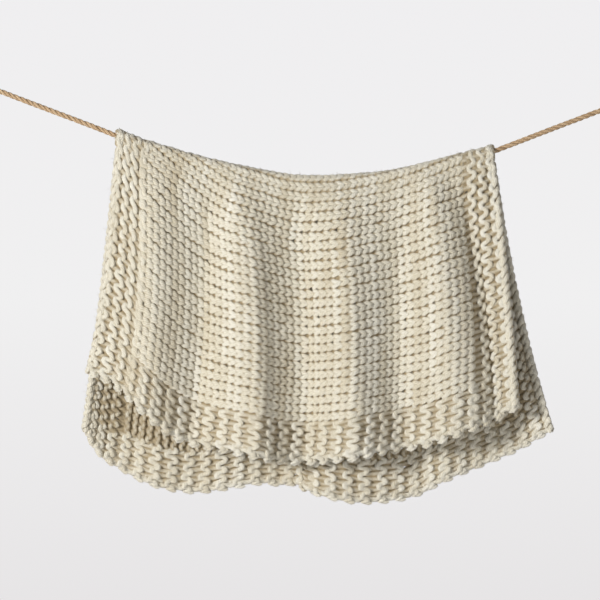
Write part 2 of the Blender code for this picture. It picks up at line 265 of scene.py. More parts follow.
# Folds of the front flap, in millimetres but for the first and last columns. "out" is towards the viewer.
# course, x at the rope, at half height and at the hem, out near the rope, at half height and at the hem,
# z of the hem, stitches between the rope and the hem
FRONT_FOLDS = np.array([
    (0.00, 257.6, 243.0, 210.1, 9.5, 19.0, 22.0, -471.3, 25.30),
    (3.63, 291.0, 282.3, 255.6, 14.3, 32.0, 34.0, -492.0, 26.65),
    (7.31, 319.6, 319.0, 306.5, 17.5, 42.0, 45.0, -538.6, 27.69),
    (10.83, 364.1, 359.1, 343.3, 12.7, 24.0, 25.0, -571.6, 29.05),
    (14.10, 408.6, 396.3, 377.2, 9.5, 8.0, 6.4, -586.8, 30.24),
    (17.01, 429.3, 422.4, 412.9, 14.3, 25.4, 23.9, -593.3, 30.78),
    (21.67, 451.6, 465.7, 468.9, 19.1, 49.3, 52.5, -601.4, 31.26),
    (23.03, 464.3, 481.3, 484.6, 17.5, 49.3, 57.2, -604.4, 31.37),
    (25.10, 485.0, 499.8, 501.5, 14.3, 33.4, 39.8, -609.3, 31.56),
    (30.82, 543.8, 561.2, 564.4, 9.5, 8.0, 11.1, -616.0, 32.00),
    (33.64, 570.8, 584.8, 589.4, 14.3, 30.2, 35.0, -611.6, 32.00),
    (37.29, 612.2, 627.0, 633.0, 19.1, 52.5, 60.4, -605.2, 31.89),
    (40.33, 650.3, 655.0, 663.0, 14.3, 38.2, 46.1, -599.9, 31.61),
    (45.24, 710.7, 705.3, 711.5, 9.5, 12.7, 15.9, -594.4, 31.17),
    (49.02, 733.0, 743.6, 752.9, 14.3, 31.8, 33.4, -585.3, 30.96),
    (52.97, 755.3, 779.9, 798.4, 19.1, 50.9, 54.1, -567.1, 30.75),
    (54.91, 768.0, 802.4, 820.7, 14.3, 42.9, 49.3, -559.2, 30.63),
    (58.90, 803.0, 842.9, 863.9, 9.5, 14.3, 25.4, -543.2, 30.30),
    (60.16, 822.0, 856.1, 874.2, 12.7, 23.9, 31.8, -536.4, 30.19),
    (62.00, 855.4, 877.3, 892.3, 11.1, 31.8, 38.2, -523.8, 30.00),
])

# Folds of the back flap, where "out" is away from the viewer.
# course, x at half height and at the hem, out near the rope, at half height and at the hem, z of the hem
BACK_FOLDS = np.array([
    (0.00, 230.5, 201.0, 9.5, 15.9, 22.3, -564.1),
    (2.22, 253.7, 221.7, 11.1, 23.9, 38.2, -603.8),
    (5.59, 288.6, 263.8, 11.1, 27.0, 52.5, -635.7),
    (9.39, 334.1, 309.1, 9.5, 19.1, 52.5, -658.3),
    (14.12, 384.9, 370.1, 12.7, 27.0, 60.4, -670.5),
    (18.83, 439.6, 428.6, 11.1, 22.3, 57.2, -665.3),
    (23.09, 487.5, 480.2, 11.1, 28.5, 60.0, -656.8),
    (26.25, 522.8, 519.2, 12.7, 33.0, 66.0, -659.3),
    (28.17, 542.1, 542.0, 11.1, 28.0, 57.0, -658.1),
    (30.19, 555.0, 556.6, 9.5, 19.1, 38.2, -665.0),
    (32.57, 580.5, 583.8, 9.5, 14.3, 23.9, -673.1),
    (36.37, 625.4, 628.7, 12.7, 22.3, 25.4, -682.9),
    (40.60, 673.2, 680.5, 9.5, 14.3, 35.0, -683.9),
    (44.85, 721.8, 732.3, 12.7, 27.0, 41.3, -675.0),
    (49.34, 772.3, 784.5, 9.5, 15.9, 28.6, -648.0),
    (53.78, 821.3, 841.6, 12.7, 27.0, 38.2, -624.7),
    (58.05, 865.7, 896.5, 11.1, 22.3, 25.4, -599.5),
    (62.00, 898.4, 953.7, 9.5, 14.3, 9.5, -564.8),
])


def smooth_through(stations, values, at):
    """Values at the places AT, on a smooth curve through VALUES at STATIONS."""
    stations = np.asarray(stations, float)
    values = np.asarray(values, float)
    at = np.clip(np.asarray(at, float), stations[0], stations[-1])
    gaps = np.diff(stations)
    slopes = np.diff(values, axis=0) / (gaps if values.ndim == 1 else gaps[:, None])
    before, after = gaps[:-1], gaps[1:]
    if values.ndim > 1:
        before, after = before[:, None], after[:, None]
    tangents = np.empty_like(values)
    tangents[0], tangents[-1] = slopes[0], slopes[-1]
    tangents[1:-1] = (slopes[:-1] * after + slopes[1:] * before) / (before + after)
    i = np.clip(np.searchsorted(stations, at, side="right") - 1, 0, len(gaps) - 1)
    gap = gaps[i]
    s = (at - stations[i]) / gap
    if values.ndim > 1:
        gap, s = gap[..., None], s[..., None]
    h00 = 2 * s**3 - 3 * s**2 + 1
    h10 = s**3 - 2 * s**2 + s
    h01 = 3 * s**2 - 2 * s**3
    h11 = s**3 - s**2
    return h00 * values[i] + h10 * gap * tangents[i] + h01 * values[i + 1] + h11 * gap * tangents[i + 1]


def rope_height(x):
    return smooth_through(ROPE_LINE[:, 0], ROPE_LINE[:, 1], x / MM) * MM


def rope_slope(x):
    return (rope_height(x + 2 * MM) - rope_height(x - 2 * MM)) / (4 * MM)


def stitches_in_front(course):
    return smooth_through(FRONT_FOLDS[:, 0], FRONT_FOLDS[:, 8], course)


def flap_point(part_down, x_rope, folds, sign):
    """A point of a flap, the front one for SIGN 1 and the back one for -1."""
    x_mid, x_hem, near, mid, hem, z_hem = [folds[..., k] * MM for k in range(6)]
    t = part_down
    x = x_rope * (2 * t - 1) * (t - 1) + x_mid * 4 * t * (1 - t) + x_hem * t * (2 * t - 1)
    out = np.zeros_like(t)
    steps = [np.full_like(near, SEAT_RADIUS), near, near + NEAR_TO_MID * (mid - near), mid, hem]
    for level, value in enumerate(steps):
        unit = np.zeros(len(LEVELS))
        unit[level] = 1.0
        out = out + value * smooth_through(LEVELS, unit, t)
    z_rope = rope_height(x_rope)
    down = (1 + TOP_STRETCH) * t - TOP_STRETCH * t**2
    return np.stack([x, -sign * out, z_rope + (z_hem - z_rope) * down], axis=-1)


def cloth_point(course, stitch):
    """A point of the drape. STITCH is counted from the rope and is below zero on the back flap."""
    course, stitch = np.broadcast_arrays(np.asarray(course, float), np.asarray(stitch, float))
    front = smooth_through(FRONT_FOLDS[:, 0], FRONT_FOLDS[:, 1:8], course)
    back = smooth_through(BACK_FOLDS[:, 0], BACK_FOLDS[:, 1:7], course)
    x_rope = front[..., 0] * MM
    in_front = stitches_in_front(course)
    turn = np.clip(stitch / TURN_STITCHES, -1, 1) * math.pi / 2
    lean = np.sqrt(1 + rope_slope(x_rope) ** 2)
    seat_z = rope_height(x_rope) + SEAT_RADIUS * lean * np.cos(turn)
    seat = np.stack([x_rope, -SEAT_RADIUS * np.sin(turn), seat_z], -1)
    down_front = np.clip((stitch - TURN_STITCHES) / (in_front - TURN_STITCHES), 0, 1)
    down_back = np.clip((-stitch - TURN_STITCHES) / (STITCHES - in_front - TURN_STITCHES), 0, 1)
    on_front = flap_point(down_front, x_rope, front[..., 1:], 1)
    on_back = flap_point(down_back, x_rope, back, -1)
    flap = np.where((stitch > 0)[..., None], on_front, on_back)
    return np.where((np.abs(stitch) > TURN_STITCHES)[..., None], flap, seat)


def cloth_outward(course, stitch):
    """Unit normal of the drape on its knit side, which faces away from the rope on both flaps."""
    reach = 0.35
    left, right = np.clip(course - reach, 0, COURSES), np.clip(course + reach, 0, COURSES)
    along = cloth_point(right, stitch) - cloth_point(left, stitch)
    down = cloth_point(course, stitch + reach) - cloth_point(course, stitch - reach)
    normal = np.cross(down, along)
    return normal / np.linalg.norm(normal, axis=-1)[..., None]


def even_course_table():
    """The drape's course under each course of the knitting, so that courses lie evenly along the folds."""
    drape = np.linspace(0, COURSES, SAMPLES_A_COURSE * COURSES + 1)
    steps = np.linspace(0, COURSES, STEPS_A_COURSE * COURSES + 1)
    table = np.empty((len(steps), STITCHES + 1))
    for level in range(STITCHES + 1):
        from_hem = min(max(level, 0.05), STITCHES - 0.05)
        line = cloth_point(drape, stitches_in_front(drape) - from_hem)
        gone = np.concatenate([[0], np.cumsum(np.linalg.norm(np.diff(line, axis=0), axis=1))])
        high = 1 - abs(level - STITCHES / 2) / (STITCHES / 2)
        left = LEFT_BORDER_WIDTH[0] + (LEFT_BORDER_WIDTH[1] - LEFT_BORDER_WIDTH[0]) * high
        right = RIGHT_BORDER_WIDTH[0] + (RIGHT_BORDER_WIDTH[1] - RIGHT_BORDER_WIDTH[0]) * high
        width = 1 - (1 - left) / (1 + np.exp((steps - SIDE_BORDER_LEFT) * 2))
        width = width - (1 - right) / (1 + np.exp((COURSES - SIDE_BORDER_RIGHT - steps) * 2))
        grown = np.concatenate([[0], np.cumsum((width[1:] + width[:-1]) / 2)])
        table[:, level] = np.interp(grown / grown[-1] * gone[-1], gone, drape)
    return table


EVEN_COURSES = even_course_table()


def drape_course(course, from_hem):
    """The drape's course under a course of the knitting."""
    u = np.clip(course, 0, COURSES) * STEPS_A_COURSE
    v = np.clip(from_hem, 0, STITCHES)
    i = np.minimum(u.astype(int), len(EVEN_COURSES) - 2)
    k = np.minimum(v.astype(int), STITCHES - 1)
    f, g = u - i, v - k
    near = EVEN_COURSES[i, k] * (1 - f) + EVEN_COURSES[i + 1, k] * f
    far = EVEN_COURSES[i, k + 1] * (1 - f) + EVEN_COURSES[i + 1, k + 1] * f
    return near * (1 - g) + far * g


def on_cloth(course, from_hem, depth):
    """Points by course, stitches from the front hem, and height off the middle of the cloth on its knit side.

    With them go the way out of the cloth, and 1 where it is pressed on the rope. Past a hem or a side edge a
    point runs on straight.
    """
    course, from_hem = np.broadcast_arrays(np.asarray(course, float), np.asarray(from_hem, float))
    inner_course = np.clip(course, 0.2, COURSES - 0.2)
    inner_hem = np.clip(from_hem, 0.1, STITCHES - 0.1)

    def place(c, h):
        draped = drape_course(c, h)
        return draped, stitches_in_front(draped) - h

    draped, stitch = place(inner_course, inner_hem)
    outward = cloth_outward(draped, stitch)
    point = cloth_point(draped, stitch)
    over_hem = from_hem - inner_hem
    if np.any(over_hem):
        inside = place(inner_course, inner_hem - np.sign(over_hem) * 0.5)
        point = point + (point - cloth_point(*inside)) * (np.abs(over_hem) * 2)[..., None]
    over_side = course - inner_course
    if np.any(over_side):
        inside = place(inner_course - np.sign(over_side) * 0.5, inner_hem)
        point = point + (point - cloth_point(*inside)) * (np.abs(over_side) * 2)[..., None]
    near_rope = 1 - np.clip((np.abs(stitch) - 0.9) / 3.6, 0, 1)
    near_rope = near_rope * near_rope * (3 - 2 * near_rope)
    depth = np.asarray(depth) * (1 - (1 - DEPTH_OVER_ROPE) * near_rope) + LIFT_OVER_ROPE * near_rope
    return point + outward * depth[..., None], outward, near_rope


def new_tree(name, kind, inputs, outputs):
    tree = bpy.data.node_groups.new(name, kind)
    for label, socket, value in inputs:
        made = tree.interface.new_socket(name=label, in_out="INPUT", socket_type=socket)
        if value is not None:
            made.default_value = value
    for label, socket in outputs:
        tree.interface.new_socket(name=label, in_out="OUTPUT", socket_type=socket)
    return tree, tree.nodes.new("NodeGroupInput"), tree.nodes.new("NodeGroupOutput")


def add_node(tree, kind, inputs=None, **settings):
    """A node. Each of its INPUTS is a plain value, or the (node, output) that gives it."""
    node = tree.nodes.new(kind)
    for key, value in settings.items():
        setattr(node, key, value)
    for key, value in (inputs or {}).items():
        if isinstance(value, tuple) and isinstance(value[0], bpy.types.Node):
            tree.links.new(value[0].outputs[value[1]], node.inputs[key])
        else:
            node.inputs[key].default_value = value
    return node


def calc(tree, operation, *terms):
    return add_node(tree, "ShaderNodeMath", dict(enumerate(terms)), operation=operation), 0


def vector_calc(tree, operation, *terms):
    output = "Value" if operation == "DOT_PRODUCT" else 0
    return add_node(tree, "ShaderNodeVectorMath", dict(enumerate(terms)), operation=operation), output


def remap(tree, value, from_min, from_max, to_min, to_max, kind="LINEAR"):
    inputs = {"Value": value, "From Min": from_min, "From Max": from_max, "To Min": to_min, "To Max": to_max}
    return add_node(tree, "ShaderNodeMapRange", inputs, interpolation_type=kind), 0


def read_named(tree, label, kind="FLOAT"):
    return add_node(tree, "GeometryNodeInputNamedAttribute", {"Name": label}, data_type=kind), "Attribute"


def store_named(tree, geometry, label, value, kind="FLOAT"):
    inputs = {"Name": label, "Geometry": geometry, "Value": value}
    node = add_node(tree, "GeometryNodeStoreNamedAttribute", inputs, data_type=kind, domain="POINT")
    return node, "Geometry"


def read_in_shader(tree, label, output="Fac"):
    return add_node(tree, "ShaderNodeAttribute", attribute_name=label), output


def round_strand_tree():
    """A line of points becomes a closed round strand.

    It keeps its length along, its direction around, and as "raised" how far its surface stands off the middle
    of the cloth, less a made-up depth for painted shade in the line and in the crease between two wales. A
    low "raised" paints the colour darker, as shade.
    """
    tree, start, end = new_tree(
        "strand on a line", "GeometryNodeTree",
        [("Line", "NodeSocketGeometry", None), ("Diameter", "NodeSocketFloat", YARN_DIAMETER),
         ("Sides", "NodeSocketInt", YARN_SIDES), ("Material", "NodeSocketMaterial", None)],
        [("Strand", "NodeSocketGeometry")])
    curve = add_node(tree, "GeometryNodeMeshToCurve", {"Mesh": (start, "Line")})
    sized = add_node(
        tree, "GeometryNodeSetCurveRadius", {"Curve": (curve, "Curve"), "Radius": read_named(tree, "swell")})
    centre = add_node(tree, "GeometryNodeInputPosition")
    along = add_node(tree, "GeometryNodeSplineParameter")
    line = store_named(tree, (sized, "Curve"), "centre", (centre, 0), "FLOAT_VECTOR")
    line = store_named(tree, line, "along", (along, "Length"))
    half = calc(tree, "MULTIPLY", (start, "Diameter"), 0.5)
    ring = add_node(
        tree, "GeometryNodeCurvePrimitiveCircle", {"Resolution": (start, "Sides"), "Radius": half})
    place = add_node(tree, "GeometryNodeInputPosition")
    unit = vector_calc(tree, "NORMALIZE", (place, 0))
    profile = store_named(tree, (ring, "Curve"), "around", unit, "FLOAT_VECTOR")
    tube = add_node(
        tree, "GeometryNodeCurveToMesh", {"Fill Caps": True, "Curve": line, "Profile Curve": profile})
    surface = add_node(tree, "GeometryNodeInputPosition")
    away = vector_calc(tree, "SUBTRACT", (surface, 0), read_named(tree, "centre", "FLOAT_VECTOR"))
    rise = vector_calc(tree, "DOT_PRODUCT", away, read_named(tree, "outward", "FLOAT_VECTOR"))
    height = calc(tree, "ADD", rise, read_named(tree, "depth"))
    # painted shade: a made-up depth, deeper in the open rows' painted shadow and in the crease between wales,
    # lowers "raised" so the colour darkens
    most = remap(tree, height, -SIDE_BLEND, SIDE_BLEND, OPEN_SHADOW_SINK, OPEN_SHADOW_SINK_OUTSIDE)
    sink = calc(tree, "MINIMUM", read_named(tree, "sink"), most)
    step = vector_calc(tree, "DOT_PRODUCT", away, read_named(tree, "down", "FLOAT_VECTOR"))
    beside = calc(tree, "ABSOLUTE", calc(tree, "ADD", step, read_named(tree, "aside")))
    crease = remap(tree, beside, CREASE_FROM, CREASE_TO, 0.0, CREASE_SHADE, "SMOOTHSTEP")
    sunk = calc(tree, "SUBTRACT", calc(tree, "ABSOLUTE", height), sink)
    raised = calc(tree, "SUBTRACT", sunk, crease)
    marked = store_named(tree, (tube, "Mesh"), "raised", raised)
    smooth = add_node(tree, "GeometryNodeSetShadeSmooth", {"Geometry": marked})
    real = add_node(tree, "GeometryNodeRealizeInstances", {"Geometry": (smooth, "Geometry")})
    painted = add_node(
        tree, "GeometryNodeSetMaterial", {"Geometry": (real, "Geometry"), "Material": (start, "Material")})
    tree.links.new(painted.outputs["Geometry"], end.inputs["Strand"])
    return tree


def set_input(modifier, label, value):
    for item in modifier.node_group.interface.items_tree:
        if item.item_type == "SOCKET" and item.in_out == "INPUT" and item.name == label:
            modifier[item.identifier] = value


def strand_piece(name, lines, diameter, sides, material, tree):
    """One plain mesh of round strands.

    LINES is a list of (points, thickness, tone, lie). LIE says where the strand lies in the cloth: the way
    out of it, the way along a wale by stitches, the height off its middle, the distance from the wale's
    middle and how much darker its colour is painted, as shade. None stands for a strand that lies in the
    open.
    """
    points, edges = [], []
    numbers = {label: [] for label in ("swell", "tone", "depth", "aside", "sink")}
    ways = {label: [] for label in ("outward", "down")}
    base = 0
    for line, swell, tone, lie in lines:
        count = len(line)
        flat = np.zeros((count, 3))
        outward, down, depth, aside, sink = lie or (flat, flat, IN_THE_OPEN, 0.0, 0.0)
        points.append(line)
        for label, value in zip(numbers, (swell, tone, depth, aside, sink)):
            numbers[label].append(np.broadcast_to(value, count))
        for label, value in zip(ways, (outward, down)):
            ways[label].append(value)
        edges.extend((base + k, base + k + 1) for k in range(count - 1))
        base += count
    line_mesh = bpy.data.meshes.new(name + " lines")
    line_mesh.from_pydata(np.concatenate(points).tolist(), edges, [])
    for label, values in numbers.items():
        made = line_mesh.attributes.new(label, "FLOAT", "POINT")
        made.data.foreach_set("value", np.concatenate(values).astype("f"))
    for label, values in ways.items():
        made = line_mesh.attributes.new(label, "FLOAT_VECTOR", "POINT")
        made.data.foreach_set("vector", np.concatenate(values).astype("f").ravel())
    maker = bpy.data.objects.new(name + " lines", line_mesh)
    bpy.context.scene.collection.objects.link(maker)
    modifier = maker.modifiers.new("strand", "NODES")
    modifier.node_group = tree
    set_input(modifier, "Diameter", diameter)
    set_input(modifier, "Sides", sides)
    set_input(modifier, "Material", material)
    mesh = bpy.data.meshes.new_from_object(maker.evaluated_get(bpy.context.evaluated_depsgraph_get()))
    maker.modifiers.remove(modifier)
    bpy.data.objects.remove(maker)
    bpy.data.meshes.remove(line_mesh)
    mesh.name = name
    for spare in ("centre", "down", "depth", "aside", "sink", "swell"):
        if spare in mesh.attributes:
            mesh.attributes.remove(mesh.attributes[spare])
    piece = bpy.data.objects.new(name, mesh)
    bpy.context.scene.collection.objects.link(piece)
    return piece


def fibre_tone_group():
    """Streaks of lighter and darker fibre that wind round a strand, and the height of its plies."""
    tree, start, end = new_tree(
        "fibres wound along a strand", "ShaderNodeTree",
        [("Plies", "NodeSocketFloat", 3.0), ("Twist Length", "NodeSocketFloat", 0.02),
         ("Streaks", "NodeSocketFloat", 6.0), ("Speck Size", "NodeSocketFloat", 900.0)],
        [("Streak", "NodeSocketFloat"), ("Ply Height", "NodeSocketFloat"), ("Height", "NodeSocketFloat")])
    around = add_node(tree, "ShaderNodeSeparateXYZ", {0: read_in_shader(tree, "around", "Vector")})
    angle = calc(tree, "ARCTAN2", (around, 1), (around, 0))
    turns = calc(tree, "DIVIDE", read_in_shader(tree, "along"), (start, "Twist Length"))
    wound = calc(tree, "ADD", angle, calc(tree, "MULTIPLY", turns, 2 * math.pi))
    half = calc(tree, "MULTIPLY", calc(tree, "MULTIPLY", wound, (start, "Plies")), 0.5)
    ply = calc(tree, "ABSOLUTE", calc(tree, "SINE", half))
    slow = calc(tree, "MULTIPLY", turns, 0.25)
    spot = add_node(
        tree, "ShaderNodeCombineXYZ", {0: calc(tree, "COSINE", wound), 1: calc(tree, "SINE", wound), 2: slow})
    streak = add_node(
        tree, "ShaderNodeTexNoise",
        {"Detail": 3.0, "Roughness": 0.6, "Vector": (spot, 0), "Scale": (start, "Streaks")},
        noise_dimensions="3D")
    place = add_node(tree, "ShaderNodeTexCoord")
    speck = add_node(
        tree, "ShaderNodeTexNoise",
        {"Detail": 2.0, "Roughness": 0.65, "Vector": (place, "Object"), "Scale": (start, "Speck Size")},
        noise_dimensions="3D")
    fibres = calc(tree, "MULTIPLY", (streak, "Fac"), 0.45)
    fuzz = calc(tree, "MULTIPLY", (speck, "Fac"), 0.35)
    height = calc(tree, "MULTIPLY_ADD", ply, 0.6, calc(tree, "ADD", fibres, fuzz))
    for label, (node, output) in (("Streak", (streak, "Fac")), ("Ply Height", ply), ("Height", height)):
        tree.links.new(node.outputs[output], end.inputs[label])
    return tree


def plain_material(name, roughness, specular):
    material = bpy.data.materials.new(name)
    material.use_nodes = True
    shader = material.node_tree.nodes["Principled BSDF"]
    shader.inputs["Roughness"].default_value = roughness
    shader.inputs["Specular IOR Level"].default_value = specular
    return material, material.node_tree, shader


def strand_material(
        name, fibres, colours, plies, twist, streaks, bump, roughness, sheen,
        speck=900.0, hollow_shade=None, fuzzy=0.0):
    """COLOURS are the tones of the fibre. The shade colour given is painted deep between the stitches and
    strands, as the shade that falls there.

    FUZZY is how far the shading leans to that of the whole cloth, as a coat of loose fibre does.
    """
    material, tree, shader = plain_material(name, roughness, FIBRE_SPECULAR)
    shader.inputs["Sheen Weight"].default_value = sheen
    shader.inputs["Sheen Roughness"].default_value = SHEEN_ROUGHNESS
    look = tree.nodes.new("ShaderNodeGroup")
    look.node_tree = fibres
    sizes = {"Plies": plies, "Twist Length": twist, "Streaks": streaks, "Speck Size": speck}
    for label, value in sizes.items():
        look.inputs[label].default_value = value
    streaked = calc(tree, "MULTIPLY", (look, "Streak"), STREAK_SHARE)
    # painted shade and light: the ply's grooves are coloured darker and its crests lighter
    lift = calc(tree, "MULTIPLY_ADD", (look, "Ply Height"), PLY_SHADE_SHARE, streaked)
    ramp = add_node(tree, "ShaderNodeValToRGB", {0: calc(tree, "ADD", lift, read_in_shader(tree, "tone"))})
    stops = ramp.color_ramp.elements
    stops[0].position, stops[0].color = TONE_STOPS[0], (*colours[0], 1)
    stops[1].position, stops[1].color = TONE_STOPS[2], (*colours[2], 1)
    stops.new(TONE_STOPS[1]).color = (*colours[1], 1)
    colour = ramp
    if hollow_shade is not None:
        # painted shade: where a strand's surface lies low between stitches or strands, its colour turns to
        # the shade colour
        raised = read_in_shader(tree, "raised")
        deep = remap(tree, raised, HOLLOW_SHADE_FROM, HOLLOW_SHADE_TO, 1.0, 0.0, "SMOOTHSTEP")
        colour = add_node(
            tree, "ShaderNodeMixRGB", {"Color2": (*hollow_shade, 1), "Fac": deep, "Color1": (ramp, "Color")})
    tree.links.new(colour.outputs["Color"], shader.inputs["Base Color"])
    relief = add_node(
        tree, "ShaderNodeBump", {"Strength": 1.0, "Distance": bump, "Height": (look, "Height")}), 0
    normal = relief
    if fuzzy:
        facing = read_in_shader(tree, "outward", "Vector")
        same = vector_calc(tree, "DOT_PRODUCT", relief, facing)
        most = fuzzy / (1 - fuzzy)
        lean = remap(tree, same, -0.25, 0.25, -most, most)
        coat = add_node(tree, "ShaderNodeVectorMath", {0: facing, "Scale": lean}, operation="SCALE"), 0
        normal = vector_calc(tree, "NORMALIZE", vector_calc(tree, "ADD", relief, coat))
    tree.links.new(normal[0].outputs[normal[1]], shader.inputs["Normal"])
    material.diffuse_color = (*colours[1], 1)
    return material


def ground_material(name, dark, light):
    material, tree, shader = plain_material(name, 1.0, 0.05)
    # painted shade: the sheet is coloured as the shade seen between the stitches, mottled by noise
    place = add_node(tree, "ShaderNodeTexCoord")
    noise = add_node(tree, "ShaderNodeTexNoise", {"Scale": 260.0, "Detail": 4.0, "Vector": (place, "Object")})
    ramp = add_node(tree, "ShaderNodeValToRGB", {0: (noise, "Fac")})
    ends = ramp.color_ramp.elements
    ends[0].position, ends[0].color = 0.35, (*dark, 1)
    ends[1].position, ends[1].color = 0.7, (*light, 1)
    tree.links.new(ramp.outputs["Color"], shader.inputs["Base Color"])
    relief = add_node(
        tree, "ShaderNodeBump", {"Strength": 0.7, "Distance": 0.8 * MM, "Height": (noise, "Fac")})
    tree.links.new(relief.outputs["Normal"], shader.inputs["Normal"])
    return material


def eye_points(end):
    """The points of one eye, its middle, the way towards the blanket and the way up from the rope."""
    middle = ROPE_LINE[end] * MM
    towards = (ROPE_LINE[1] - ROPE_LINE[0]) if end == 0 else (ROPE_LINE[-2] - ROPE_LINE[-1])
    towards = towards / np.linalg.norm(towards)
    up = np.array([-towards[1], towards[0]]) * math.copysign(1, towards[0])
    return middle + (EYE[:, :1] * towards + EYE[:, 1:] * up) * MM, middle, towards, up


def rope_route(count):
    """Even points along the rope from tail to tail, by way of both eyes."""
    knots = np.concatenate([eye_points(0)[0][:-1], ROPE_LINE[1:-1] * MM, eye_points(-1)[0][:-1][::-1]])
    reach = np.concatenate([[0], np.cumsum(np.linalg.norm(np.diff(knots, axis=0), axis=1))])
    fine = smooth_through(reach, knots, np.linspace(0, reach[-1], 6000))
    gone = np.concatenate([[0], np.cumsum(np.linalg.norm(np.diff(fine, axis=0), axis=1))])
    at = np.linspace(0, gone[-1], count)
    flat = np.stack([np.interp(at, gone, fine[:, 0]), np.interp(at, gone, fine[:, 1])], -1)
    return np.stack([flat[:, 0], np.zeros(count), flat[:, 1]], -1), at


def build_rope(tree, material):
    rng = np.random.default_rng(11)
    length = rope_route(50)[1][-1]
    centre, at = rope_route(int(length / (LAY_LENGTH / RINGS_PER_LAY)) + 1)
    along = np.gradient(centre, axis=0)
    along /= np.linalg.norm(along, axis=1)[:, None]
    side = np.array([0.0, 1.0, 0.0])
    up = np.cross(along, side)
    throw = ROPE_DIAMETER / 2 - ROPE_STRAND_DIAMETER / 2
    lines = []
    for strand in range(ROPE_STRANDS):
        wobble = 0.12 * np.interp(at, np.linspace(0, length, 90), rng.normal(size=90))
        spin = strand * 2 * math.pi / ROPE_STRANDS - at * 2 * math.pi / LAY_LENGTH + wobble
        line = centre + throw * (np.cos(spin)[:, None] * up + np.sin(spin)[:, None] * side)
        fat = 1 + 0.05 * np.interp(at, np.linspace(0, length, 160), rng.normal(size=160))
        outward = line - centre
        outward /= np.linalg.norm(outward, axis=1)[:, None]
        # painted shade: the strands' sides that face the rope's middle are coloured darker
        lie = (outward, np.zeros_like(line), throw, 0.0, 0.0)
        lines.append((line, np.clip(fat, 0.9, 1.08), (strand - 1) * 0.04, lie))
    rope = strand_piece("twisted_rope", lines, ROPE_STRAND_DIAMETER, ROPE_STRAND_SIDES, material, tree)
    return rope, [tuple(p) for p in centre[::3].tolist()] + [tuple(centre[-1].tolist())], length


def build_whipping(name, end, tree, material):
    """Turns of twine round the rope and its tail, side by side."""
    _, middle, towards, up = eye_points(end)
    gap = -EYE[0, 1] * MM
    radius = ROPE_DIAMETER / 2 + TWINE_CLEARANCE + TWINE_DIAMETER / 2
    turns = int((WHIP_TO - WHIP_FROM) / TWINE_PITCH) - 1
    angle = np.linspace(0, turns * 2 * math.pi, turns * TWINE_STEPS + 1)
    # a turn follows the rope over its top and the tail underneath
    part = np.clip(np.sin(angle) * 6, -1, 1)
    rise = radius * np.sin(angle) + (part - 1) * gap / 2
    along = WHIP_FROM + TWINE_DIAMETER / 2 + angle / (2 * math.pi) * TWINE_PITCH
    flat = middle + along[:, None] * towards + rise[:, None] * up
    line = np.stack([flat[:, 0], radius * np.cos(angle), flat[:, 1]], -1)
    return strand_piece(name, [(line, 1.0, 0.0, None)], TWINE_DIAMETER, TWINE_SIDES, material, tree)


def purl_here(course_index, stitch_index):
    """True where a course shows its back: every second course inside the garter stitch borders."""
    side = (course_index < SIDE_BORDER_LEFT) | (course_index >= COURSES - SIDE_BORDER_RIGHT)
    hem = (stitch_index < HEM_BORDER) | (stitch_index >= STITCHES - HEM_BORDER)
    return (side | hem) & (course_index % 2 == 0)


def stitches_of_course(side):
    """Where each stitch of a course starts, from the front hem, and its length, both in plain stitches."""
    if side:
        size = np.full(round(STITCHES / SIDE_STITCH), SIDE_STITCH)
    else:
        hem = np.full(round(HEM_BORDER / HEM_STITCH), HEM_STITCH)
        size = np.concatenate([hem, np.ones(STITCHES - 2 * HEM_BORDER), hem])
    return np.cumsum(size) - size, size


